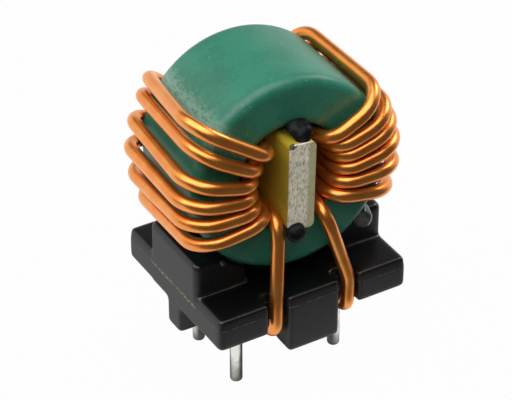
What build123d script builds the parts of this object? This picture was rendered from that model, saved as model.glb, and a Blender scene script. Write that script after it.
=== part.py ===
from build123d import *
import math
import os

# A common mode choke: two copper windings on a coated ferrite ring that stands upright in a moulded carrier.
# Lengths are in millimetres, angles in degrees. The board's surface is z = 0 and the front faces -Y.

# Carrier plate; the strip above the mould's parting line is drafted inwards
plate_width = 17.4
plate_thickness = 3.3
plate_corner_radius = 0.45
plate_edge_chamfer = 0.25
parting_drop = 1.0
parting_step = 0.15
board_clearance = 2.9

# Blocks, legs and notches of the carrier
block_width = 5.4
block_depth = 2.7
leg_width = 2.3
leg_depth = 2.3
foot_chamfer = 0.3
notch_width = 2.15
notch_depth = 1.9

# Cradles that hold the ring
cradle_width = 8.7
cradle_height = 3.5
cradle_reach = 5.3
cradle_corner = 0.4
cradle_top_chamfer = 0.3
cradle_clearance = 0.4

# Board pins, round below the joint and sided where the moulding and the solder grip them
pin_diameter = 1.2
pin_grip_sides = 8
pin_tip_chamfer = 0.2
pin_spacing_x = 10.8
pin_spacing_y = 7.2
pin_below_board = 5.5
pin_seat_depth = 2.4
pin_clearance = 0.02

# Coated ferrite ring, glued into its cradles a little turned and leaning back
ring_diameter = 19.3
ring_hole_diameter = 9.8
ring_length = 12.1
ring_edge_radius = 0.8
ring_edge_facets = 2
ring_rise = 0.9
ring_end_margin = 0.35
ring_set_back = 0.7
ring_yaw_angle = -4.3
ring_lean_angle = 2.8
coating_thickness = 0.35
coating_clearance = 0.01

# Copper wire: its section, its bends and how closely it lies to the ring
wire_diameter = 1.25
wire_sides = 9
bend_tolerance = 0.16
outer_front_bend = 3.0
outer_back_bend = 2.2
hole_front_bend = 2.0
hole_back_bend = 1.6
hole_stand_off = 0.04
left_front_stand_off = 1.03
right_front_stand_off = 0.63
left_back_stand_off = 0.25
right_back_stand_off = 0.35

# Places of the turns, as angles above the horizontal on each winding's own side, from the lowest turn up.
# A wire passes through the hole to the back, out across the back face, and forward along the outside.
left_hole_angles = (-60.4, -42.5, -23.5, -5.7, 11.8, 29.3, 51.9)
left_back_angles = (-31.6, -16, -0.8, 14, 27.7, 36.9)
left_front_angles = (-22.1, -9.4, 1.7, 13.3, 29.5, 39.4)
right_hole_angles = (-56.8, -39.3, -21.8, -4.3, 13.2, 30.7, 48.2)
right_back_angles = (-29.5, -12.5, 4, 18.5, 31.5, 42.8)
right_front_angles = (-20, -7, 5.5, 15.5, 23.5, 35.8)
hole_climb_angle = 3

# How far each turn stands off the ring's outside at its back and front, in shares of the wire's diameter
left_back_shares = (0.86, 0.71, 0.59, 0.53, 0.3, 0.25)
left_front_shares = (0.5, 0.42, 0.46, 0.5, 0.73, 2.17)
right_back_shares = (0.45, 0.45, 0.45, 0.6, 0.5, 0.5)
right_front_shares = (0.4, 0.4, 0.4, 0.4, 0.45, 0.45)

# Leads, which run down through the notches and back to the pins
lead_bend_radius = 1.0
lead_kink_radius = 2.0
lead_inset = 0.8
lead_kink_inset = 0.9
lead_kink_rise = 2.6
lead_plate_gap = 0.15
lead_tail = 0.9
lead_pin_gap = 0.05
left_lead_shift = -0.15
right_lead_shift = 0.25
left_kink_shift = -0.2
right_kink_shift = 0.4
left_lead_stand_off = 0.56
right_lead_stand_off = 1.06
rear_lead_clearance = 1.35
rear_lead_shift = 0
rear_kink_shift = 0.2
rear_lead_x = 2.7
rear_lead_drop = 5.4

# Separator plate in the hole, and the dabs of glue that hold it
separator_thickness = 2.55
separator_clearance = 0.08
separator_overhang = 1.35
separator_chamfer = 0.3
separator_shift = 0.3
separator_roll_angle = 3
top_dab_radius = 1.2
top_dab_rise = 0.2
top_dab_overhang = 0.2
low_dab_radius = 1.05
low_dab_drop = 1.0
low_dab_overhang = 0.75
drop_sides = 8
drop_layers = 2
drop_end_angle = 70

# Solder on the leads, and the beads of glue on the cradles
solder_radius = 0.95
solder_height = 1.5
solder_corner = 0.55
solder_chamfer = 0.3
solder_clearance = 0.01
bead_radius = 0.95
bead_angle = -43

# Heights and places that follow from the sizes above
plate_top = board_clearance + plate_thickness
plate_length = ring_diameter + 2 * ring_end_margin
ring_radius = ring_diameter / 2
hole_radius = ring_hole_diameter / 2
ring_z = plate_top + ring_rise + ring_radius
ring_face = ring_length / 2
wire_radius = wire_diameter / 2
hole_wire_radius = hole_radius - wire_radius - hole_stand_off
notch_x = (block_width + notch_width) / 2
lead_y = plate_width / 2 - lead_inset
lead_z = board_clearance - wire_radius - lead_plate_gap
kink_y = plate_width / 2 - lead_kink_inset
kink_z = board_clearance + lead_kink_rise
pin_x = pin_spacing_x / 2
pin_y = pin_spacing_y / 2
pin_lead_x = pin_x - pin_diameter / 2 - wire_radius - lead_pin_gap
pin_top = board_clearance + pin_seat_depth
solder_bottom = lead_z - lead_plate_gap - solder_height / 2
separator_edge_x = separator_thickness / 2 + separator_shift
separator_height = 2 * math.sqrt((hole_radius - separator_clearance) ** 2 - separator_edge_x ** 2)
ring_place = Pos(0, ring_set_back, ring_z) * Rot(0, 0, ring_yaw_angle) * Rot(-ring_lean_angle, 0, 0)

SIDES = {"left": -1, "right": 1}
ENDS = {"front": -1, "rear": 1}


def save(solid, node):
    """Write one piece to its own file."""
    solid.label = node
    export_step(solid, f"parts/{node}.step")


def block(size_x, size_y, bottom, top):
    """A box centred on the Z axis, between two heights."""
    solid = Box(size_x, size_y, top - bottom, align=(Align.CENTER, Align.CENTER, Align.MIN))
    return Pos(0, 0, bottom) * solid


def plate():
    """The carrier's plate: straight sides below the parting line, drafted ones above it."""
    outline = RectangleRounded(plate_length, plate_width, plate_corner_radius)
    draft = math.degrees(math.atan(parting_step / parting_drop))
    parting_z = plate_top - parting_drop
    lower = extrude(Pos(0, 0, board_clearance) * outline, parting_z - board_clearance)
    lower = chamfer(lower.faces().sort_by(Axis.Z)[0].edges(), plate_edge_chamfer)
    return lower + extrude(Pos(0, 0, parting_z) * outline, parting_drop, taper=draft)


def cradle(side):
    """One cradle at an end of the plate, hollowed to the ring."""
    height = plate_top + cradle_height - board_clearance
    upright = Box(cradle_reach, cradle_width, height, align=(Align.MAX, Align.CENTER, Align.MIN))
    upright = chamfer(upright.edges().filter_by(Axis.Z).group_by(Axis.X)[-1], cradle_corner)
    upright = chamfer(upright.faces().sort_by(Axis.Z)[-1].edges(), cradle_top_chamfer)
    upright = Pos(plate_length / 2, 0, board_clearance) * upright
    ring_space = Pos(0, 0, ring_z) * Rot(90, 0, 0) * Cylinder(ring_radius + cradle_clearance, plate_width)
    upright = upright - ring_space
    return upright if side > 0 else mirror(upright, Plane.YZ)


def foot(size_x, size_y, x, y):
    """A block or leg that stands on the board, with its lower edges broken."""
    solid = block(size_x, size_y, 0, plate_top - parting_drop)
    solid = chamfer(solid.faces().sort_by(Axis.Z)[0].edges(), foot_chamfer)
    return Pos(x, y, 0) * solid


def carrier():
    """The whole moulding, with its notches and pin holes."""
    solid = plate()
    for side in SIDES.values():
        solid += cradle(side)
        solid += foot(leg_depth, leg_width, side * (plate_length - leg_depth) / 2, 0)
    for end in ENDS.values():
        solid += foot(block_width, block_depth, 0, end * (plate_width - block_depth) / 2)
        for side in SIDES.values():
            notch = block(notch_width, 2 * notch_depth, 0, plate_top + cradle_height)
            solid -= Pos(side * notch_x, end * plate_width / 2, 0) * notch
            solid -= Pos(side * pin_x, end * pin_y, 0) * pin_grip(pin_clearance)
    return solid


def pin_grip(clearance):
    """The sided root of a pin, from the joint up into the plate, or the space for it with a clearance."""
    outline = RegularPolygon(pin_diameter / 2 + clearance, pin_grip_sides)
    return extrude(Pos(0, 0, solder_bottom) * outline, pin_top - solder_bottom)


def pin(side, end):
    """A pin: its root, and the round length that goes down through the board."""
    length = solder_bottom + pin_below_board
    solid = Cylinder(pin_diameter / 2, length, align=(Align.CENTER, Align.CENTER, Align.MIN))
    solid = chamfer(solid.faces().sort_by(Axis.Z)[0].edges(), pin_tip_chamfer)
    solid = Pos(0, 0, -pin_below_board) * solid + pin_grip(0)
    return Pos(side * pin_x, end * pin_y, 0) * solid


def soft_section(width, height, radius):
    """A rectangle with each corner turned in a few facets."""
    points = []
    for quarter, (sign_x, sign_y) in enumerate(((1, 1), (-1, 1), (-1, -1), (1, -1))):
        centre = Vector(sign_x * (width / 2 - radius), sign_y * (height / 2 - radius))
        for step in range(ring_edge_facets + 1):
            angle = 90 * (quarter + step / ring_edge_facets)
            points.append(centre + Vector(radius, 0).rotate(Axis.Z, angle))
    return make_face(Polyline(*points, close=True))


def turned_ring(section):
    """A section turned round the ring's own axis."""
    placed = Pos((ring_radius + hole_radius) / 2, 0, 0) * section
    return revolve(placed, Axis.Y)


def ring_section(inset):
    """Width and length of the ring's section, drawn in by an inset."""
    return ring_radius - hole_radius - 2 * inset, ring_length - 2 * inset


def coated_ring():
    """The outside form of the coated ring, in the ring's own frame."""
    return turned_ring(soft_section(*ring_section(0), ring_edge_radius))


def ferrite_ring():
    """The bare magnetic ring inside the coating."""
    return turned_ring(Rectangle(*ring_section(coating_thickness)))


def epoxy_coating():
    """The coat all round the magnetic ring."""
    return coated_ring() - turned_ring(Rectangle(*ring_section(coating_thickness - coating_clearance)))


def bent_route(corners, bends):
    """Points of a wire's centre line: straight runs, with each corner turned in short facets."""
    route = [corners[0]]
    for before, corner, after, bend in zip(corners, corners[1:], corners[2:], bends):
        inward = (before - corner).normalized()
        onward = (after - corner).normalized()
        turn = 180 - inward.get_angle(onward)
        half_turn = math.radians(turn / 2)
        centre = corner + (inward + onward).normalized() * (bend / math.cos(half_turn))
        arm = corner + inward * (bend * math.tan(half_turn)) - centre
        pivot = Axis((0, 0, 0), onward.cross(inward))
        facet_turn = 2 * math.degrees(math.acos(1 - bend_tolerance / bend))
        facets = math.ceil(turn / facet_turn)
        route += [centre + arm.rotate(pivot, turn * step / facets) for step in range(facets + 1)]
    return route + [corners[-1]]


def in_ring(x, y, z):
    """A point of the ring's own frame, in the part's frame."""
    return (ring_place * Pos(x, y, z)).position


def by_ring(side, radius, angle, y):
    """A point beside the ring, at an angle above the winding's own side."""
    rise = math.radians(angle)
    return in_ring(side * radius * math.cos(rise), y, radius * math.sin(rise))


def lead_end(side, end, lead_shift, kink_shift):
    """A lead's corners from its tail beside the pin to its kink above the notch."""
    tail = Vector(side * pin_lead_x, end * (pin_y - lead_tail), lead_z)
    under_notch = Vector(side * (notch_x + lead_shift), end * lead_y, lead_z)
    kink = Vector(side * (notch_x + kink_shift), end * kink_y, kink_z)
    return [tail, under_notch, kink]


def winding_route(side, angles, shares, stand_offs, shifts):
    """The centre line of one winding, from its front pin up through the turns and down to its rear pin."""
    hole, back, front = angles
    back_shares, front_shares = shares
    front_y, back_y, lead_front_y = (ring_face + wire_radius + stand_off for stand_off in stand_offs)
    rear_lead_y = back_y + rear_lead_clearance
    corners = lead_end(side, ENDS["front"], *shifts)
    bends = [lead_bend_radius, lead_kink_radius]
    corners.append(by_ring(side, hole_wire_radius, hole[0], -lead_front_y))
    for turn, (outer_back, outer_front) in enumerate(zip(back, front)):
        back_radius = ring_radius + wire_radius + back_shares[turn] * wire_diameter
        front_radius = ring_radius + wire_radius + front_shares[turn] * wire_diameter
        corners.append(by_ring(side, hole_wire_radius, hole[turn] + hole_climb_angle, back_y))
        corners.append(by_ring(side, back_radius, outer_back, back_y))
        corners.append(by_ring(side, front_radius, outer_front, -front_y))
        corners.append(by_ring(side, hole_wire_radius, hole[turn + 1], -front_y))
        bends += [hole_front_bend, hole_back_bend, outer_back_bend, outer_front_bend]
    corners.append(by_ring(side, hole_wire_radius, hole[-1] + hole_climb_angle, rear_lead_y))
    corners.append(in_ring(side * rear_lead_x, rear_lead_y, -rear_lead_drop))
    corners += reversed(lead_end(side, ENDS["rear"], rear_lead_shift, rear_kink_shift))
    bends += [hole_front_bend, hole_back_bend, lead_kink_radius, lead_kink_radius, lead_bend_radius]
    return bent_route(corners, bends)


def wire(route):
    """A round wire along a route, drawn with a many-sided section."""
    section = Plane(origin=route[0], z_dir=route[1] - route[0]) * RegularPolygon(wire_radius, wire_sides)
    return sweep(section, path=Polyline(*route), transition=Transition.RIGHT)


def separator():
    """The laminate plate on edge in the hole, with its long edges broken, in the ring's own frame."""
    solid = Box(separator_thickness, ring_length + 2 * separator_overhang, separator_height)
    solid = chamfer(solid.edges().filter_by(Axis.Y), separator_chamfer)
    return Pos(separator_shift, 0, 0) * Rot(0, separator_roll_angle, 0) * solid


def drop(radius):
    """A round drop of glue, built up of many-sided layers that draw in towards both poles."""
    layer_turn = math.radians(drop_end_angle) / drop_layers
    half = None
    for layer in range(drop_layers):
        low, high = layer * layer_turn, (layer + 1) * layer_turn
        height = radius * (math.sin(high) - math.sin(low))
        drawn_in = radius * (math.cos(low) - math.cos(high))
        outline = RegularPolygon(radius * math.cos(low), drop_sides, major_radius=False)
        band = extrude(outline, height, taper=math.degrees(math.atan(drawn_in / height)))
        band = Pos(0, 0, radius * math.sin(low)) * band
        half = band if half is None else half + band
    return half + mirror(half, Plane.XY)


def top_dab(end):
    """A dab of glue that fills the hole's rim above the separator."""
    centre_z = separator_height / 2 + top_dab_rise
    dab = Pos(separator_shift, end * (ring_face + top_dab_overhang), centre_z) * drop(top_dab_radius)
    return dab - separator() - coated_ring()


def low_dab(end):
    """A ball of glue on the rim below the separator."""
    centre_z = -separator_height / 2 - low_dab_drop
    dab = Pos(0, end * (ring_face + low_dab_overhang), centre_z) * drop(low_dab_radius)
    return dab - separator() - coated_ring()


def solder(side, end, winding):
    """The solder that joins a winding's tail to its pin."""
    middle_x = side * (pin_x + pin_lead_x) / 2
    solid = Box(pin_x - pin_lead_x + 2 * solder_radius, 2 * solder_radius, solder_height)
    solid = chamfer(solid.edges().filter_by(Axis.Z), solder_corner)
    solid = chamfer(solid.faces().sort_by(Axis.Z)[0].edges(), solder_chamfer)
    solid = Pos(middle_x, end * pin_y, solder_bottom + solder_height / 2) * solid
    return solid - Pos(side * pin_x, end * pin_y, 0) * pin_grip(solder_clearance) - winding


def cradle_bead(side, end, moulding, ring):
    """A bead of glue in the corner between the ring and the cradle's end."""
    rise = math.radians(bead_angle)
    x = side * ring_radius * math.cos(rise)
    z = ring_z + ring_radius * math.sin(rise)
    return Pos(x, end * cradle_width / 2, z) * drop(bead_radius) - moulding - ring


os.makedirs("parts", exist_ok=True)
moulding = carrier()
ring = ring_place * coated_ring()
routes = {
    "left": winding_route(
        SIDES["left"],
        (left_hole_angles, left_back_angles, left_front_angles),
        (left_back_shares, left_front_shares),
        (left_front_stand_off, left_back_stand_off, left_lead_stand_off),
        (left_lead_shift, left_kink_shift),
    ),
    "right": winding_route(
        SIDES["right"],
        (right_hole_angles, right_back_angles, right_front_angles),
        (right_back_shares, right_front_shares),
        (right_front_stand_off, right_back_stand_off, right_lead_stand_off),
        (right_lead_shift, right_kink_shift),
    ),
}
save(moulding, "carrier")
save(ring_place * ferrite_ring(), "ferrite_ring")
save(ring_place * epoxy_coating(), "epoxy_coating")
save(ring_place * separator(), "separator")
for side_name, side in SIDES.items():
    winding = wire(routes[side_name])
    save(winding, f"winding_{side_name}")
    for end_name, end in ENDS.items():
        save(pin(side, end), f"pin_{end_name}_{side_name}")
        save(solder(side, end, winding), f"solder_{end_name}_{side_name}")
        save(cradle_bead(side, end, moulding, ring), f"cradle_glue_{side_name}_{end_name}")
for end_name, end in ENDS.items():
    save(ring_place * top_dab(end), f"separator_glue_top_{end_name}")
    save(ring_place * low_dab(end), f"separator_glue_bottom_{end_name}")
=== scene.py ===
import math

import bmesh
import bpy
from mathutils import Matrix, Vector, noise


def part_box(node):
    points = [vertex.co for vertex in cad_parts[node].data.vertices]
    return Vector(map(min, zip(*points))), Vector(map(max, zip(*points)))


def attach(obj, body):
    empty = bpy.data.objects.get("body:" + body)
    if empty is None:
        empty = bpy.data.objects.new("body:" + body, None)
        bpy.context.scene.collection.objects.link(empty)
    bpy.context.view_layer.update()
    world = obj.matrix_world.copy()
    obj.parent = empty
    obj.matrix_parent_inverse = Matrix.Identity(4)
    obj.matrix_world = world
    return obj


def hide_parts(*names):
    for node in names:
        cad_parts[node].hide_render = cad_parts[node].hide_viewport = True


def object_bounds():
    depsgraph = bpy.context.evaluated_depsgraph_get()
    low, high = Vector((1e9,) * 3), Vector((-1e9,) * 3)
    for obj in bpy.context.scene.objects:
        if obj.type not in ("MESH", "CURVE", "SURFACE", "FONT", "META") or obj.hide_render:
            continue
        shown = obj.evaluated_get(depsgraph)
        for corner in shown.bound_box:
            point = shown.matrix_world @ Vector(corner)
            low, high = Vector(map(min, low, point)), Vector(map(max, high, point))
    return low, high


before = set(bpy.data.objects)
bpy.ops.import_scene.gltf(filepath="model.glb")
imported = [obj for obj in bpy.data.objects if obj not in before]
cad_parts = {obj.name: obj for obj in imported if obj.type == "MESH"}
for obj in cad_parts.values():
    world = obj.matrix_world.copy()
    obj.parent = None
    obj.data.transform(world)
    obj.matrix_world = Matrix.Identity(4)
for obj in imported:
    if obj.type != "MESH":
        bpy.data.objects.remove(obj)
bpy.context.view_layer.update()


# Carrier: the black moulding that stands on the board, cradles the ring and passes the four leads.
# Glass-filled polyester from a two-part mould, so its sides are dull and grained, its edges soft, and a thin
# line of flash runs round it at the parting. Its upright sides are painted a lighter grey than its top,
# which is painted light from the side, and a painted highlight runs along the foot of each cradle.
mm = 0.001
carrier_voxel = 0.125 * mm
softening = 0.5
softening_rounds = 28
carrier_black = (0.0014, 0.0014, 0.0016)
# Lighter grey painted on the upright sides: painted light.
carrier_lit_side_grey = (0.02, 0.0205, 0.019)
# Grey of the real flash at the parting, also used for the painted highlight at the foot of the cradles.
flash_and_highlight_grey = (0.16, 0.16, 0.13)
flash_yellow = (0.3, 0.28, 0.15)
dust_grey = (0.25, 0.25, 0.23)
parting_height = 5.2
plate_top = 6.2
# Height of the painted highlight line along the foot of the cradles.
foot_highlight_height = plate_top + 0.04
cradle_half_width = 4.35
cradle_outer_face = 9.9
cradle_inner_face = 4.9


class Link:
    """A socket of a finish, on which sums are written as plain expressions."""

    def __init__(self, finish, socket):
        self.finish = finish
        self.socket = socket

    def maths(self, operation, *values):
        return self.finish.node("ShaderNodeMath", {"operation": operation}, dict(enumerate(values)))["Value"]

    def __add__(self, other):
        return self.maths("ADD", self, other)

    def __sub__(self, other):
        return self.maths("SUBTRACT", self, other)

    def __rsub__(self, other):
        return self.maths("SUBTRACT", other, self)

    def __mul__(self, other):
        return self.maths("MULTIPLY", self, other)

    def __abs__(self):
        return self.maths("ABSOLUTE", self)

    __radd__ = __add__
    __rmul__ = __mul__


class Finish:
    """The material of one surface, and the few patterns that its looks are made of."""

    def __init__(self, name, kind=bpy.data.materials, shader="Principled BSDF"):
        self.material = kind.new(name)
        self.material.use_nodes = True
        self.tree = self.material.node_tree
        self.shader = self.tree.nodes[shader]

    def node(self, kind, settings=None, sockets=None):
        """Add a node, set it, feed its sockets, and give its outputs by name."""
        node = self.tree.nodes.new(kind)
        for key, value in (settings or {}).items():
            setattr(node, key, value)
        named = {socket.name: socket for socket in reversed(node.inputs) if socket.enabled}
        for key, value in (sockets or {}).items():
            self.feed(named[key] if isinstance(key, str) else node.inputs[key], value)
        return {output.name: Link(self, output) for output in node.outputs if output.enabled}

    def feed(self, socket, value):
        """Link or set one socket."""
        if isinstance(value, Link):
            self.tree.links.new(value.socket, socket)
        elif isinstance(value, tuple) and len(socket.default_value) == 4:
            socket.default_value = (*value, 1)
        else:
            socket.default_value = value

    def place(self, stretch=(1, 1, 1)):
        """Object coordinates in millimetres, stretched along the axes."""
        where = self.node("ShaderNodeTexCoord")["Object"]
        scale = tuple(share / mm for share in stretch)
        return self.node("ShaderNodeVectorMath", {"operation": "MULTIPLY"}, {0: where, 1: scale})["Vector"]

    def axis(self, name):
        """One coordinate of the surface, in millimetres."""
        return self.node("ShaderNodeSeparateXYZ", sockets={"Vector": self.place()})[name]

    def grain(self, size, detail=3, roughness=0.5, where=None):
        """Cloudy noise whose lumps are about this many millimetres across."""
        sockets = {"Vector": where or self.place(), "Scale": 1 / size, "Detail": detail,
                   "Roughness": roughness}
        return self.node("ShaderNodeTexNoise", sockets=sockets)["Fac"]

    def specks(self, spacing, radius):
        """Scattered dots, in millimetres: one at most in each cell, 1 at its middle."""
        sockets = {"Vector": self.place(), "Scale": 1 / spacing, "Randomness": 1}
        distance = self.node("ShaderNodeTexVoronoi", sockets=sockets)["Distance"]
        return self.step(distance, radius / spacing, 0.4 * radius / spacing)

    def step(self, value, low, high):
        """0 at low, 1 at high and smooth between them."""
        sockets = {"Value": value, "From Min": low, "From Max": high}
        return self.node("ShaderNodeMapRange", {"interpolation_type": "SMOOTHSTEP"}, sockets)["Result"]

    def blend(self, mask, colour, other):
        """One colour where the mask is 0 and the other where it is 1."""
        sockets = {"Factor": mask, "A": colour, "B": other}
        return self.node("ShaderNodeMix", {"data_type": "RGBA"}, sockets)["Result"]

    def relief(self, height, depth, under=None):
        """A bumped normal: a height of 1 stands this many millimetres proud."""
        sockets = {"Height": height, "Distance": depth * mm, "Strength": 1}
        if under:
            sockets["Normal"] = under
        return self.node("ShaderNodeBump", sockets=sockets)["Normal"]

    def show(self, **sockets):
        """Feed the shader, with sockets named in lower case."""
        for key, value in sockets.items():
            self.feed(self.shader.inputs[key.replace("_", " ").title().replace("Ior", "IOR")], value)
        return self.material


def piece(name, shape, finish, slot, *nodes):
    """Turn a mesh in the making into a piece that stands for its nodes."""
    bmesh.ops.recalc_face_normals(shape, faces=shape.faces)
    mesh = bpy.data.meshes.new(name)
    shape.to_mesh(mesh)
    shape.free()
    mesh.shade_smooth()
    mesh.materials.append(finish)
    made = bpy.data.objects.new(name, mesh)
    bpy.context.scene.collection.objects.link(made)
    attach(made, "root")
    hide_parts(*nodes)
    return made


def moulded_black():
    finish = Finish("moulded_black")
    height = finish.axis("Z")
    across = finish.axis("Y")
    along = finish.axis("X")
    upright = 1 - abs(finish.node("ShaderNodeSeparateXYZ", sockets={
        "Vector": finish.node("ShaderNodeNewGeometry")["Normal"]})["Z"])
    side = finish.step(upright, 0.4, 0.8)
    fine = finish.grain(0.13, 4, 0.7)
    cloud = finish.grain(1.6, 3)
    # Painted light: the upright sides are painted lighter grey than the top, broken up by the grain.
    painted_side_light = side * (0.35 + cloud * 0.7) * finish.step(fine, 0.45, 0.7)
    colour = finish.blend(painted_side_light, carrier_black, carrier_lit_side_grey)
    dashes = finish.step(finish.grain(0.3, 2, where=finish.place((1, 1, 0.1))), 0.4, 0.6)
    waver = (finish.grain(0.7, 2) - 0.5) * 0.06
    parting = finish.step(abs(height + waver - parting_height), 0.055, 0.02) * side * dashes
    colour = finish.blend(parting * 0.6, colour, flash_and_highlight_grey)
    outer = finish.step(abs(along), cradle_outer_face - 0.15, cradle_outer_face)
    outer = outer * finish.step(abs(across), cradle_half_width, cradle_half_width - 0.2)
    ragged = finish.step(abs(height - parting_height + (finish.grain(0.5, 4) - 0.5) * 0.5), 0.2, 0.08)
    flash = outer * ragged * finish.step(finish.grain(0.25, 3), 0.42, 0.6)
    colour = finish.blend(flash, colour, flash_yellow)
    # Painted highlight: a pale line where each cradle meets the plate, standing in for light caught in the
    # fillet there.
    foot = finish.step(abs(height - foot_highlight_height), 0.1, 0.03)
    foot = foot * finish.step(abs(abs(across) - cradle_half_width), 0.2, 0.1)
    foot = foot * finish.step(abs(along), cradle_inner_face - 0.3, cradle_inner_face)
    colour = finish.blend(foot * 0.5, colour, flash_and_highlight_grey)
    dust = finish.specks(spacing=1.1, radius=0.05) * finish.step(finish.grain(2.5, 2), 0.5, 0.6)
    colour = finish.blend(dust * 0.6, colour, dust_grey)
    rough = 0.26 + side * 0.22 + fine * 0.12
    normal = finish.relief(fine * side + parting * 2 + flash * 3, 0.012)
    normal = finish.relief(finish.grain(0.6, 3), 0.01, normal)
    return finish.show(base_color=colour, roughness=rough, normal=normal, ior=1.6)


def solid(node):
    """The solid of a node as a mesh in the making."""
    shape = bmesh.new()
    shape.from_mesh(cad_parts[node].data)
    return shape


carrier = piece("carrier_moulding", solid("carrier"), moulded_black(), "carrier_plastic", "carrier")
evened = carrier.modifiers.new("evened", "REMESH")
evened.mode = "VOXEL"
evened.voxel_size = carrier_voxel
evened.use_smooth_shade = True
softened = carrier.modifiers.new("softened", "SMOOTH")
softened.factor = softening
softened.iterations = softening_rounds


# Pins: four round wire pins pressed into the carrier, which go down through the board.
# Copper-clad steel dipped in tin, so they are bright, a little wavy, and rounded by the tin at the tip.
pin_radius = 0.6 * mm
pin_tip_round = 0.3 * mm
pin_tip_steps = 8
pin_rings = 40
pin_sides = 32
tin_bright = (0.88, 0.87, 0.82)
tin_dull = (0.56, 0.55, 0.5)


def tinned_steel():
    finish = Finish("tinned_steel")
    runs = finish.grain(0.5, 3, where=finish.place((1, 1, 0.15)))
    blotch = finish.grain(0.9, 4)
    colour = finish.blend(finish.step(blotch, 0.35, 0.7), tin_bright, tin_dull)
    rough = 0.05 + runs * 0.08 + blotch * 0.05
    normal = finish.relief(runs, 0.03, finish.relief(finish.grain(0.12, 2), 0.004))
    return finish.show(base_color=colour, metallic=0.95, roughness=rough, normal=normal)


def lathe(rows, sides, place, closed=False):
    """A mesh in the making turned round the local Z axis: each row is a radius and a height."""
    shape = bmesh.new()
    rings = []
    for radius, height in rows:
        turns = (2 * math.pi * turn / sides for turn in range(sides))
        rings.append([shape.verts.new(place @ Vector((radius * math.cos(t), radius * math.sin(t), height)))
                      for t in turns])
    pairs = list(zip(rings, rings[1:])) + ([(rings[-1], rings[0])] if closed else [])
    for lower, upper in pairs:
        for turn in range(sides):
            after = (turn + 1) % sides
            shape.faces.new((lower[turn], lower[after], upper[after], upper[turn]))
    if not closed:
        shape.faces.new(rings[0])
        shape.faces.new(rings[-1])
    return shape


tin = tinned_steel()
for end in ("front", "rear"):
    for side in ("left", "right"):
        node = f"pin_{end}_{side}"
        low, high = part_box(node)
        foot = Vector(((low.x + high.x) / 2, (low.y + high.y) / 2, 0))
        rows = []
        for step in range(pin_tip_steps + 1):
            turn = math.pi / 2 * step / pin_tip_steps
            rows.append((pin_radius - pin_tip_round * (1 - math.sin(turn)),
                         low.z + pin_tip_round * (1 - math.cos(turn))))
        for step in range(1, pin_rings + 1):
            height = low.z + pin_tip_round + (high.z - low.z - pin_tip_round) * step / pin_rings
            rows.append((pin_radius, height))
        piece(f"{node}_tinned", lathe(rows, pin_sides, Matrix.Translation(foot)), tin, "tinned_pin", node)


# Ferrite ring: the magnetic core inside the coating, pressed from powder and fired.
# Only the coat shows, so the core keeps its plain solid and a dark, slightly sparkling ceramic finish.
ferrite_dark = (0.018, 0.018, 0.02)
ferrite_light = (0.06, 0.06, 0.065)


def fired_ferrite():
    finish = Finish("fired_ferrite")
    grit = finish.grain(0.08, 4, 0.7)
    cloud = finish.grain(2.2, 3)
    colour = finish.blend(finish.step(grit, 0.5, 0.75) * (0.4 + cloud * 0.6), ferrite_dark, ferrite_light)
    return finish.show(base_color=colour, roughness=0.5 + grit * 0.3, normal=finish.relief(grit, 0.01))


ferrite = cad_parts["ferrite_ring"]
ferrite.data.materials.clear()
ferrite.data.materials.append(fired_ferrite())


# Coating: the green epoxy round the ferrite, which keeps the enamelled wire off the hard core.
# It is sprayed on as powder and melted, so it is semi-gloss with a faint orange peel, round at the edges,
# dusty on top, and scuffed pale beside the uppermost turn on the left.
ring_centre = sum(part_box("ferrite_ring"), Vector()) / 2
ring_lean = math.radians(-2.8)
ring_yaw = math.radians(-4.3)
ring_radius = 9.65 * mm
hole_radius = 4.9 * mm
ring_face = 6.05 * mm
ring_edge = 1.0 * mm
ring_sides = 240
green_deep = (0.014, 0.15, 0.09)
green_light = (0.024, 0.2, 0.125)
green_scuffed = (0.24, 0.38, 0.32)
dust_pale = (0.5, 0.58, 0.53)
ring_turn = Matrix.Rotation(ring_yaw, 4, "Z") @ Matrix.Rotation(ring_lean, 4, "X")
ring_frame = Matrix.Translation(ring_centre) @ ring_turn


def green_epoxy():
    finish = Finish("green_epoxy")
    angle = finish.node("ShaderNodeAttribute", {"attribute_name": "ring_angle"})["Fac"]
    depth = finish.node("ShaderNodeAttribute", {"attribute_name": "ring_depth"})["Fac"]
    cloud = finish.grain(4.5, 3)
    mottle = finish.grain(0.5, 4)
    colour = finish.blend(finish.step(cloud * 0.7 + mottle * 0.3, 0.35, 0.65), green_deep, green_light)
    drawn = finish.grain(0.28, 5, 0.7, finish.place((1, 0.5, 1)))
    band = finish.step(angle + depth * 0.3 + (cloud - 0.5) * 9, 127, 139) * finish.step(angle, 150, 144)
    scuff = band * finish.step(drawn + band * 0.15, 0.42, 0.7)
    colour = finish.blend(scuff * 0.8, colour, green_scuffed)
    dust = finish.specks(spacing=0.8, radius=0.075) * finish.step(finish.grain(3, 2), 0.42, 0.58)
    fine_dust = finish.specks(spacing=0.3, radius=0.05) * finish.step(finish.grain(1.8, 2), 0.42, 0.58)
    colour = finish.blend(dust * 0.6 + fine_dust * 0.4, colour, dust_pale)
    rough = 0.34 + mottle * 0.1 + scuff * 0.25
    peel = finish.relief(finish.grain(1.1, 2), 0.02)
    normal = finish.relief(scuff * drawn, 0.02, peel)
    return finish.show(base_color=colour, roughness=rough, normal=normal, ior=1.53)


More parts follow.
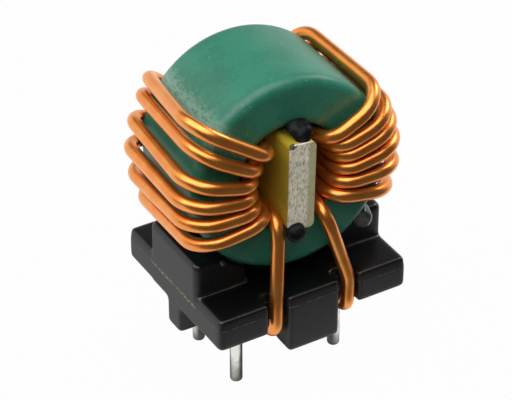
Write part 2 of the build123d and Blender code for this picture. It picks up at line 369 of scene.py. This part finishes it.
def ring_section():
    """Radius and height of the coat's section, with each edge rounded."""
    rows = []
    edge_steps = 10
    face_steps = 12
    corners = ((ring_radius, ring_face, 0), (hole_radius, ring_face, 1), (hole_radius, -ring_face, 2),
               (ring_radius, -ring_face, 3))
    for radius, height, quarter in corners:
        inward = -1 if radius == ring_radius else 1
        downward = -1 if height > 0 else 1
        centre = (radius + inward * ring_edge, height + downward * ring_edge)
        for step in range(edge_steps + 1):
            turn = math.pi / 2 * (quarter + step / edge_steps)
            rows.append((centre[0] + ring_edge * math.cos(turn), centre[1] + ring_edge * math.sin(turn)))
    spread = []
    for row, after in zip(rows, rows[1:] + rows[:1]):
        gap = math.dist(row, after)
        parts = face_steps if gap > 2 * ring_edge else 1
        spread += [tuple(a + (b - a) * part / parts for a, b in zip(row, after)) for part in range(parts)]
    return spread


coat_wave = 0.035 * mm
coat_wave_length = 5 * mm
upright_ring = ring_frame @ Matrix.Rotation(math.pi / 2, 4, "X")
coat = lathe(ring_section(), ring_sides, upright_ring, closed=True)
coat.normal_update()
into_ring = ring_frame.inverted()
angle_layer = coat.verts.layers.float.new("ring_angle")
depth_layer = coat.verts.layers.float.new("ring_depth")
for point in coat.verts:
    local = into_ring @ point.co
    point[angle_layer] = math.degrees(math.atan2(local.z, local.x))
    point[depth_layer] = local.y / mm
    point.co += point.normal * coat_wave * noise.noise(point.co / coat_wave_length)
piece("green_coating", coat, green_epoxy(), "green_epoxy", "epoxy_coating")


# Separator: a plate on edge in the hole that keeps the two windings apart.
# Glass-cloth laminate sawn from sheet: its faces are smooth and olive, and its sawn ends show white, torn
# fibres beside one smooth skin.
separator_thickness = 2.58 * mm
separator_height = 8.75 * mm
separator_length = 15.25 * mm
separator_chamfer = 0.3 * mm
separator_centre = Vector((0.02, -0.225, -0.2)) * mm
separator_roll = math.radians(2.6)
separator_columns = 22
separator_rows = 72
separator_sharp_edge = math.radians(32)
fibre_depth = 0.1 * mm
fibre_width = 0.16 * mm
fibre_length = 0.9 * mm
skin_width = 0.75 * mm
skin_depth_share = 0.15
rim_depth = 0.35 * mm
laminate_olive = (0.46, 0.34, 0.018)
laminate_pale = (0.5, 0.4, 0.06)
fibre_white = (0.95, 0.9, 0.73)
fibre_gap = (0.36, 0.3, 0.15)
fibre_dark = (0.05, 0.045, 0.03)
bruise_black = (0.02, 0.02, 0.022)
bruise_place = Vector((-1.1, -7.55, 4.3)) * mm
skin_pale = (0.46, 0.43, 0.19)


def glass_laminate():
    finish = Finish("glass_laminate")
    end_depth = abs(finish.node("ShaderNodeAttribute", {"attribute_name": "separator_depth"})["Fac"])
    sawn_end = separator_length / mm / 2
    sawn = finish.step(end_depth, sawn_end - 0.28, sawn_end - 0.2)
    across = finish.node("ShaderNodeAttribute", {"attribute_name": "separator_across"})["Fac"]
    layers = finish.grain(0.13, 4, 0.65, finish.place((1, 1, 0.3)))
    tufts = finish.grain(0.22, 4, 0.65, finish.place((1, 1, 0.6)))
    skin = finish.step(across + (tufts - 0.5) * 0.5, 0.5, 0.75)
    colour_end = finish.blend(finish.step(layers * 0.6 + tufts * 0.4, 0.34, 0.56), fibre_gap, fibre_white)
    pits = finish.step(finish.grain(0.35, 3), 0.7, 0.78)
    colour_end = finish.blend(pits * 0.6, colour_end, fibre_dark)
    colour_end = finish.blend(skin * (0.45 + layers * 0.6), colour_end, skin_pale)
    cloud = finish.grain(2.5, 3)
    weave = finish.grain(0.25, 2)
    faded = finish.step(cloud * 0.7 + weave * 0.3, 0.35, 0.7)
    colour_face = finish.blend(faded, laminate_olive, laminate_pale)
    colour = finish.blend(sawn, colour_face, colour_end)
    rolled_bruise = Matrix.Rotation(separator_roll, 3, "Y") @ bruise_place
    bruise_middle = ring_frame @ (separator_centre + rolled_bruise)
    from_bruise = finish.node("ShaderNodeVectorMath", {"operation": "DISTANCE"},
                              {0: finish.place(), 1: tuple(bruise_middle / mm)})["Value"]
    bruise = finish.step(from_bruise + (tufts - 0.5) * 0.7, 0.42, 0.28)
    colour = finish.blend(bruise * 0.9, colour, bruise_black)
    rough = 0.42 + sawn * 0.3 + weave * 0.08
    normal = finish.relief(sawn * (1 - skin) * (layers + tufts), 0.05, finish.relief(weave, 0.006))
    return finish.show(base_color=colour, roughness=rough, normal=normal)


def separator_shape():
    """A plate whose two ends are rough grids, joined by smooth sides with broken corners."""
    shape = bmesh.new()
    depth_layer = shape.verts.layers.float.new("separator_depth")
    across_layer = shape.verts.layers.float.new("separator_across")
    place = ring_frame @ Matrix.Translation(separator_centre) @ Matrix.Rotation(separator_roll, 4, "Y")
    grids = {}
    for end in (-1, 1):
        grid = []
        for row in range(separator_rows + 1):
            height = separator_height * (row / separator_rows - 0.5)
            cut = max(0, abs(height) - separator_height / 2 + separator_chamfer)
            line = []
            for column in range(separator_columns + 1):
                across = (separator_thickness - 2 * cut) * (column / separator_columns - 0.5)
                seed = Vector((across / fibre_width, end * 7, height / fibre_length))
                torn = fibre_depth * (noise.noise(seed) + 0.5 * noise.noise(seed * 2.3))
                smooth = across > separator_thickness / 2 - skin_width
                depth = end * (separator_length / 2 - (skin_depth_share if smooth else 1) * abs(torn))
                ragged = abs(torn) if column == 0 else 0
                point = shape.verts.new(place @ Vector((across + ragged, depth, height)))
                point[depth_layer] = depth / mm
                point[across_layer] = across / mm
                line.append(point)
            grid.append(line)
        grids[end] = grid
        for lower, upper in zip(grid, grid[1:]):
            for column in range(separator_columns):
                shape.faces.new((lower[column], lower[column + 1], upper[column + 1], upper[column]))
    rims = []
    for end in (-1, 1):
        grid = grids[end]
        rims.append(grid[0] + [line[-1] for line in grid[1:]] + grid[-1][-2::-1]
                    + [line[0] for line in grid[-2:0:-1]])
    inner = []
    for end, rim in zip((-1, 1), rims):
        ring = []
        for point in rim:
            local = place.inverted() @ point.co
            local.x = point[across_layer] * mm
            local.y = end * (separator_length / 2 - rim_depth)
            made = shape.verts.new(place @ local)
            made[depth_layer] = local.y / mm
            made[across_layer] = local.x / mm
            ring.append(made)
        inner.append(ring)
    strips = (rims[0], inner[0], inner[1], rims[1])
    count = len(rims[0])
    for first, second in zip(strips, strips[1:]):
        for turn in range(count):
            after = (turn + 1) % count
            shape.faces.new((first[turn], first[after], second[after], second[turn]))
    return shape


separator = piece("separator_plate", separator_shape(), glass_laminate(), "laminate", "separator")
separator.data.set_sharp_from_angle(angle=separator_sharp_edge)


# Separator glue: black epoxy dabbed on the separator's ends, above it as a wedge in the hole's rim and below
# it as a ball. It set as it ran, so the dabs are shiny, lumpy and never quite round.
glue_black = (0.004, 0.004, 0.005)
glue_grey = (0.02, 0.02, 0.022)
top_dab_place = Vector((0.6, 6.75, 4.45)) * mm
top_dab_size = Vector((0.95, 0.85, 1.2)) * mm
top_dab_taper = 0.75
top_dab_lean = 1.1
low_dab_place = Vector((-0.72, 7.85, -4.72)) * mm
low_dab_size = Vector((0.95, 0.9, 0.92)) * mm
dab_lump = 0.13
dab_lump_length = 0.9 * mm


def black_epoxy():
    finish = Finish("black_epoxy")
    cloud = finish.grain(0.7, 3)
    colour = finish.blend(finish.step(cloud, 0.4, 0.75), glue_black, glue_grey)
    rough = 0.24 + cloud * 0.24
    return finish.show(base_color=colour, roughness=rough, normal=finish.relief(cloud, 0.05), ior=1.32,
                       specular_ior_level=0.3)


def blob(centre, size, lump, taper=0, lean=0):
    """A lumpy drop: a stretched ball that leans, narrows below by the taper and is swollen by noise."""
    shape = bmesh.new()
    bmesh.ops.create_icosphere(shape, subdivisions=5, radius=1)
    for point in shape.verts:
        outward = point.co.copy()
        outward.x *= 1 + taper * outward.z
        outward.y = outward.y * (1 + taper * outward.z) + lean * outward.z
        stretched = Vector(a * b for a, b in zip(outward, size))
        swell = 1 + lump * noise.noise((centre + stretched) / dab_lump_length)
        point.co = centre + stretched * swell
    return shape


black = black_epoxy()
for end, sign in (("front", 1), ("rear", -1)):
    turned = ring_frame @ Matrix.Diagonal((sign, -sign, 1, 1))
    top_dab = blob(turned @ top_dab_place, top_dab_size, dab_lump, top_dab_taper, sign * top_dab_lean)
    piece(f"glue_top_{end}", top_dab, black, "black_glue", f"separator_glue_top_{end}")
    piece(f"glue_low_{end}", blob(turned @ low_dab_place, low_dab_size, dab_lump), black, "black_glue",
          f"separator_glue_bottom_{end}")


# Windings: two coils of six turns, wound by hand with thick enamelled copper wire through the hole.
# The stiff wire bends in wide corners, stands off the ring at its front, and its ends run down the notches
# and under the plate to the pins.
wire_radius = 0.655 * mm
wire_sides = 20
route_step = 0.2 * mm
route_easings = 8
streak_share = 0.04
outer_front_bend = 3.0 * mm
outer_back_bend = 2.2 * mm
hole_front_bend = 2.0 * mm
hole_back_bend = 1.6 * mm
lead_bend = 1.0 * mm
lead_kink_bend = 2.0 * mm
hole_stand_off = 0.04 * mm
hole_wire_radius = hole_radius - wire_radius - hole_stand_off
hole_climb = 3
notch_x = 3.775 * mm
lead_y = 7.9 * mm
lead_z = 2.125 * mm
kink_y = 7.8 * mm
kink_z = 5.5 * mm
pin_y = 3.6 * mm
pin_lead_x = 4.125 * mm
lead_tail = 0.9 * mm
rear_lead_clearance = 1.35 * mm
rear_lead_x = 2.7 * mm
rear_lead_drop = 5.4 * mm
rear_shifts = (0, 0.2 * mm)
copper_orange = (0.95, 0.32, 0.055)
copper_tan = (0.98, 0.4, 0.085)
enamel_amber = (1, 0.84, 0.66)
copper_brown = (0.5, 0.12, 0.014)
copper_scraped = (0.95, 0.7, 0.45)
left_turns = {
    "hole": (-60.4, -42.5, -23.5, -5.7, 11.8, 29.3, 51.9),
    "back": (-31.6, -16, -0.8, 14, 27.7, 36.9),
    "front": (-22.1, -9.4, 1.7, 13.3, 29.5, 39.4),
    "back_shares": (0.8, 0.55, 0.4, 0.25, 0.12, 0.1),
    "front_shares": (0.5, 0.42, 0.46, 0.5, 0.73, 2.17),
    "stand_offs": (1.03 * mm, 0.25 * mm, 0.56 * mm),
    "shifts": (-0.15 * mm, -0.2 * mm),
}
right_turns = {
    "hole": (-56.8, -39.3, -21.8, -4.3, 13.2, 30.7, 48.2),
    "back": (-29.5, -12.5, 4, 18.5, 31.5, 42.8),
    "front": (-20, -7, 5.5, 15.5, 23.5, 35.8),
    "back_shares": (0.3, 0.3, 0.3, 0.25, 0.15, 0.1),
    "front_shares": (0.4, 0.4, 0.4, 0.4, 0.45, 0.45),
    "stand_offs": (0.63 * mm, 0.35 * mm, 1.06 * mm),
    "shifts": (0.25 * mm, 0.4 * mm),
}


def enamelled_copper():
    finish = Finish("enamelled_copper")
    wound = finish.node("ShaderNodeAttribute", {"attribute_name": "wire_place"})["Vector"]
    drawn = finish.grain(0.16, 3, 0.6, wound)
    patch = finish.grain(1.7, 3)
    colour = finish.blend(finish.step(patch, 0.35, 0.68), copper_orange, copper_tan)
    colour = finish.blend(finish.step(drawn, 0.55, 0.8) * 0.35, colour, copper_brown)
    scrape = finish.specks(spacing=2.3, radius=0.12) * finish.step(finish.grain(3.1, 2), 0.55, 0.62)
    colour = finish.blend(scrape * 0.5, colour, copper_scraped)
    rough = 0.25 + drawn * 0.06 + patch * 0.05
    normal = finish.relief(drawn, 0.0015, finish.relief(patch, 0.025))
    return finish.show(base_color=colour, metallic=0.92, roughness=rough, normal=normal, coat_weight=0.4,
                       coat_roughness=0.16, coat_tint=enamel_amber)


def by_ring(side, radius, angle, depth):
    """A point beside the ring, at an angle above the winding's own side."""
    rise = math.radians(angle)
    return ring_frame @ Vector((side * radius * math.cos(rise), depth, radius * math.sin(rise)))


def lead_end(side, end, shifts):
    """A lead's corners, from its tail beside the pin to its kink above the notch."""
    lead_shift, kink_shift = shifts
    return [Vector((side * pin_lead_x, end * (pin_y - lead_tail), lead_z)),
            Vector((side * (notch_x + lead_shift), end * lead_y, lead_z)),
            Vector((side * (notch_x + kink_shift), end * kink_y, kink_z))]


def winding_corners(side, turns):
    """The corners of a winding's centre line, and the radius at which the wire is bent at each."""
    front, back, lead_front = (ring_face + wire_radius + stand_off for stand_off in turns["stand_offs"])
    rear_lead = back + rear_lead_clearance
    outside = ring_radius + wire_radius
    corners = lead_end(side, -1, turns["shifts"])
    bends = [lead_bend, lead_kink_bend]
    hole = turns["hole"]
    corners.append(by_ring(side, hole_wire_radius, hole[0], -lead_front))
    for turn in range(len(hole) - 1):
        back_radius = outside + 2 * wire_radius * turns["back_shares"][turn]
        front_radius = outside + 2 * wire_radius * turns["front_shares"][turn]
        corners.append(by_ring(side, hole_wire_radius, hole[turn] + hole_climb, back))
        corners.append(by_ring(side, back_radius, turns["back"][turn], back))
        corners.append(by_ring(side, front_radius, turns["front"][turn], -front))
        corners.append(by_ring(side, hole_wire_radius, hole[turn + 1], -front))
        bends += [hole_front_bend, hole_back_bend, outer_back_bend, outer_front_bend]
    corners.append(by_ring(side, hole_wire_radius, hole[-1] + hole_climb, rear_lead))
    corners.append(ring_frame @ Vector((side * rear_lead_x, rear_lead, -rear_lead_drop)))
    corners += reversed(lead_end(side, 1, rear_shifts))
    bends += [hole_front_bend, hole_back_bend, lead_kink_bend, lead_kink_bend, lead_bend]
    return corners, bends


def bent_route(corners, bends):
    """Points close together along straight runs and round bends, eased so that no bend starts sharply."""
    stops = [corners[0]]
    for before, corner, after, bend in zip(corners, corners[1:], corners[2:], bends):
        inward = (before - corner).normalized()
        onward = (after - corner).normalized()
        turn = math.pi - inward.angle(onward)
        centre = corner + (inward + onward).normalized() * (bend / math.cos(turn / 2))
        arm = corner + inward * (bend * math.tan(turn / 2)) - centre
        pivot = onward.cross(inward).normalized()
        facets = max(2, math.ceil(bend * turn / route_step))
        for facet in range(facets + 1):
            stops.append(centre + Matrix.Rotation(turn * facet / facets, 3, pivot) @ arm)
    stops.append(corners[-1])
    route = []
    for stop, after in zip(stops, stops[1:]):
        parts = max(1, round((after - stop).length / route_step))
        route += [stop.lerp(after, part / parts) for part in range(parts)]
    route.append(stops[-1])
    for _ in range(route_easings):
        middle = [before / 4 + here / 2 + after / 4
                  for before, here, after in zip(route, route[1:], route[2:])]
        route = [route[0], *middle, route[-1]]
    return route


def tube(route, radius, sides):
    """A round wire along a route, with flat ends and its length and girth kept for the finish."""
    shape = bmesh.new()
    place_layer = shape.verts.layers.float_vector.new("wire_place")
    befores = [route[0], *route]
    afters = [*route[1:], route[-1]]
    ways = [(after - before).normalized() for before, after in zip(befores, afters)]
    out = ways[0].orthogonal().normalized()
    rings = []
    length = 0
    for number, (point, way) in enumerate(zip(route, ways)):
        out = (out - way * out.dot(way)).normalized()
        third = way.cross(out)
        length += (point - route[number - 1]).length if number else 0
        ring = []
        for side in range(sides):
            turn = 2 * math.pi * side / sides
            made = shape.verts.new(point + (out * math.cos(turn) + third * math.sin(turn)) * radius)
            girth = (math.cos(turn) * radius / mm, math.sin(turn) * radius / mm)
            made[place_layer] = (*girth, length / mm * streak_share)
            ring.append(made)
        rings.append(ring)
    for lower, upper in zip(rings, rings[1:]):
        for side in range(sides):
            after = (side + 1) % sides
            shape.faces.new((lower[side], lower[after], upper[after], upper[side]))
    shape.faces.new(rings[0])
    shape.faces.new(rings[-1])
    return shape


copper = enamelled_copper()
for name, side, turns in (("left", -1, left_turns), ("right", 1, right_turns)):
    route = bent_route(*winding_corners(side, turns))
    piece(f"copper_winding_{name}", tube(route, wire_radius, wire_sides), copper, "enamelled_copper",
          f"winding_{name}")


# Solder: the joint between each lead's bared tail and its pin, under the plate.
# Tin alloy that ran round both and drew up into a soft lump, bright with a dull skin.
solder_size = Vector((1.5, 0.98, 0.78)) * mm
solder_lump = 0.1
solder_bright = (0.72, 0.72, 0.7)
solder_dull = (0.5, 0.5, 0.5)


def dull_solder():
    finish = Finish("dull_solder")
    cloud = finish.grain(0.6, 4)
    colour = finish.blend(finish.step(cloud, 0.35, 0.7), solder_bright, solder_dull)
    return finish.show(base_color=colour, metallic=0.95, roughness=0.28 + cloud * 0.2,
                       normal=finish.relief(cloud, 0.05))


solder_finish = dull_solder()
for end in ("front", "rear"):
    for side in ("left", "right"):
        node = f"solder_{end}_{side}"
        middle = sum(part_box(node), Vector()) / 2
        piece(f"{node}_joint", blob(middle, solder_size, solder_lump), solder_finish, "solder", node)


# Cradle glue: clear resin run into the corners between the ring and the ends of the cradles.
# It is greyish and cloudy over the black plastic, with a wet shine.
resin_grey = (0.11, 0.112, 0.11)
resin_dark = (0.03, 0.031, 0.03)
bead_shift = Vector((0.1, 0.3, -0.6)) * mm
bead_shares = {"left": 0.32, "right": 1.25}
bead_lump = 0.12


def cloudy_resin():
    finish = Finish("cloudy_resin")
    cloud = finish.grain(0.8, 3)
    colour = finish.blend(finish.step(cloud, 0.35, 0.7), resin_dark, resin_grey)
    return finish.show(base_color=colour, roughness=0.2 + cloud * 0.2, normal=finish.relief(cloud, 0.04),
                       coat_weight=0.5)


resin = cloudy_resin()
for side in ("left", "right"):
    for end in ("front", "rear"):
        node = f"cradle_glue_{side}_{end}"
        low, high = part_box(node)
        size = (high - low) / 2 * bead_shares[side]
        outward = Vector((1 if side == "right" else -1, 1 if end == "rear" else -1, 1))
        shift = Vector(a * b for a, b in zip(bead_shift, outward))
        bead = blob((low + high) / 2 + shift, size, bead_lump)
        piece(f"{node}_bead", bead, resin, "clear_glue", node)


# Studio: a sheet that the camera sees as white, and shiny pieces too, but for the shadow under the choke and
# a dark room in front. A large soft lamp hangs above, two small ones stand right and front, and pale walls
# glow behind and on the left. The camera stands where the photograph was taken.
floor_half = 1.5
floor_corners = ((-1, -1), (1, -1), (1, 1), (-1, 1))
sheet_grey = (0.3, 0.3, 0.3)
sheet_white = (1, 1, 1)
room_dark = (0.08, 0.08, 0.08)
room_end = -24
sheet_start = -12
shadow_inner = 6
shadow_outer = 10
seen_share = 0.98
mirrored_share = 0.9
floor_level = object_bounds()[0][2]
camera_target = Vector((-1.1055, 0, 11.427)) * mm
camera_azimuth = math.radians(-30.606)
camera_elevation = math.radians(34.965)
camera_distance = 203.6 * mm
camera_lens = 155.4
camera_near = 10 * mm
floor_mesh = bpy.data.meshes.new("floor")
floor_points = [(x * floor_half, y * floor_half, floor_level) for x, y in floor_corners]
floor_mesh.from_pydata(floor_points, [], [(0, 1, 2, 3)])
floor = bpy.data.objects.new("floor", floor_mesh)
bpy.context.scene.collection.objects.link(floor)
paper = Finish("white_paper")
paper.show(base_color=sheet_grey, roughness=0.9)
rays = paper.node("ShaderNodeLightPath")
along = paper.axis("X")
across = paper.axis("Y")
open_sheet = paper.step(along * along + across * across, shadow_inner ** 2, shadow_outer ** 2)
sheet = paper.step(across, room_end, sheet_start) * open_sheet
shown = paper.blend(rays["Is Camera Ray"] + sheet, room_dark, sheet_white)
glow = paper.node("ShaderNodeEmission", sockets={"Color": shown, "Strength": 1})["Emission"]
mirrored = rays["Is Glossy Ray"] + rays["Is Transmission Ray"]
share = rays["Is Camera Ray"] * seen_share + mirrored * mirrored_share
plain = Link(paper, paper.shader.outputs[0])
lit = paper.node("ShaderNodeMixShader", sockets={0: share, 1: plain, 2: glow})
paper.feed(paper.tree.nodes["Material Output"].inputs["Surface"], lit["Shader"])
floor_mesh.materials.append(paper.material)

sky_light = 0.05
horizon_light = 0.9
surround = Finish("studio", bpy.data.worlds, "Background")
bpy.context.scene.world = surround.material
way = surround.node("ShaderNodeTexCoord")["Generated"]
way = surround.node("ShaderNodeSeparateXYZ", sockets={"Vector": way})
backward_right = way["Y"] + way["X"] * 0.5
band = surround.step(way["Z"], 0.52, 0.24) * surround.step(backward_right, -0.1, 0.5)
left = surround.step(way["X"], 0.1, -0.4) * surround.step(way["Y"], -0.3, 0.2)
left = left * surround.step(way["Z"], 0.9, 0.65) * surround.step(way["Z"], 0.12, 0.4)
seen = surround.node("ShaderNodeLightPath")["Is Camera Ray"]
level = sky_light + (band + left * (1 - band)) * (horizon_light - sky_light)
surround.show(color=sheet_white, strength=seen + (1 - seen) * level)


def soft_lamp(name, place, size, power):
    """A square soft box that faces the object: place and size in metres, power in watts."""
    lamp = bpy.data.lights.new(name, "AREA")
    lamp.size = size
    lamp.energy = power
    made = bpy.data.objects.new(name, lamp)
    made.location = place
    made.rotation_euler = (camera_target - Vector(place)).to_track_quat("-Z", "Y").to_euler()
    bpy.context.scene.collection.objects.link(made)
    return made


soft_lamp("lamp_above", place=(-0.1, -0.03, 0.36), size=0.48, power=1.85)
soft_lamp("lamp_right", place=(0.27, 0.03, 0.24), size=0.16, power=0.35)
lamp_front = soft_lamp("lamp_front", place=(-0.08, -0.2, 0.3), size=0.15, power=0.08)
lamp_front.visible_glossy = False

camera_data = bpy.data.cameras.new("camera")
camera_data.lens = camera_lens
camera_data.clip_start = camera_near
camera = bpy.data.objects.new("camera", camera_data)
backward = Vector((math.sin(camera_azimuth) * math.cos(camera_elevation),
                   -math.cos(camera_azimuth) * math.cos(camera_elevation), math.sin(camera_elevation)))
camera.location = camera_target + backward * camera_distance
camera.rotation_euler = backward.to_track_quat("Z", "Y").to_euler()
bpy.context.scene.collection.objects.link(camera)
bpy.context.scene.camera = camera
bpy.context.scene.view_settings.view_transform = "Standard"
